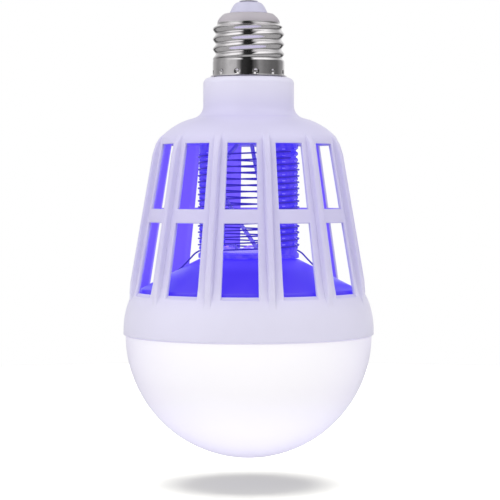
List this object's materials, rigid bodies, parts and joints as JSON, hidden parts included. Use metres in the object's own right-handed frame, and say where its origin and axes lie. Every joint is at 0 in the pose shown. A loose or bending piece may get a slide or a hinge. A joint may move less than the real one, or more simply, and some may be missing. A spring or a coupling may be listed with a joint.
{
  "type": "insect killer light bulb",
  "caption": "Screw-cap light bulb with a barred cage round a high-voltage coil that violet LEDs light from inside, above an opal light dome.",
  "frame": {"origin": "centre of the top face of the centre contact in the screw cap", "axes": "+Z along the lamp's axis into the lamp holder, -Y towards the side that the picture shows"},
  "size_m": [0.0916, 0.0916, 0.1678],
  "materials": {
    "lavender_plastic": "moulded, satin gloss, pale lavender white",
    "coil_plastic": "moulded, satin, lit violet by the LEDs inside",
    "base_plastic": "moulded, satin, lit violet by the LEDs above",
    "insulator_plastic": "moulded, satin, pale lavender grey",
    "nickel_plate": "bright nickel plate on a drawn shell",
    "steel_wire": "drawn wire and small screws",
    "aluminium": "pressed pan, plain",
    "opal_plastic": "opal, translucent, satin",
    "circuit_board": "green lacquered board",
    "white_circuit_board": "white lacquered metal-core board",
    "violet_led": "lit violet LED",
    "white_led": "LED with a yellow phosphor",
    "lead_sleeve": "pale soft sleeve",
    "resistor_coat": "plain coated body",
    "winding_tape": "yellow insulating tape",
    "black_resin": "moulded, matte",
    "capacitor_sleeve": "shrunk sleeve",
    "film_case": "dipped case"
  },
  "bodies": {
    "root": {"base_cone": "base_plastic", "board_screw_1": "steel_wire", "board_screw_2": "steel_wire", "board_screw_3": "steel_wire", "bridge_rectifier": "black_resin", "cage_housing": "lavender_plastic", "cap_insulator": "insulator_plastic", "centre_contact": "nickel_plate", "centre_lead": "lead_sleeve", "choke": "black_resin", "coil_frame": "coil_plastic", "coil_top_plate": "coil_plastic", "diffuser": "opal_plastic", "driver_board": "circuit_board", "driver_transformer": "winding_tape", "fuse_resistor": "resistor_coat", "grid_wire_live": "steel_wire", "grid_wire_return": "steel_wire", "heat_sink": "aluminium", "hv_capacitor": "film_case", "hv_transformer": "winding_tape", "led_board": "white_circuit_board", "plate_screw_1": "steel_wire", "plate_screw_2": "steel_wire", "plate_screw_3": "steel_wire", "screw_shell": "nickel_plate", "shell_lead": "lead_sleeve", "supply_capacitor": "capacitor_sleeve", "uv_board": "circuit_board", "uv_lead_1": "lead_sleeve", "uv_lead_2": "lead_sleeve", "uv_led_1": "violet_led", "uv_led_2": "violet_led", "uv_led_3": "violet_led", "uv_led_4": "violet_led", "uv_led_5": "violet_led", "uv_led_6": "violet_led", "white_led_1": "white_led", "white_led_10": "white_led", "white_led_11": "white_led", "white_led_12": "white_led", "white_led_2": "white_led", "white_led_3": "white_led", "white_led_4": "white_led", "white_led_5": "white_led", "white_led_6": "white_led", "white_led_7": "white_led", "white_led_8": "white_led", "white_led_9": "white_led"}
  },
  "joints": []
}
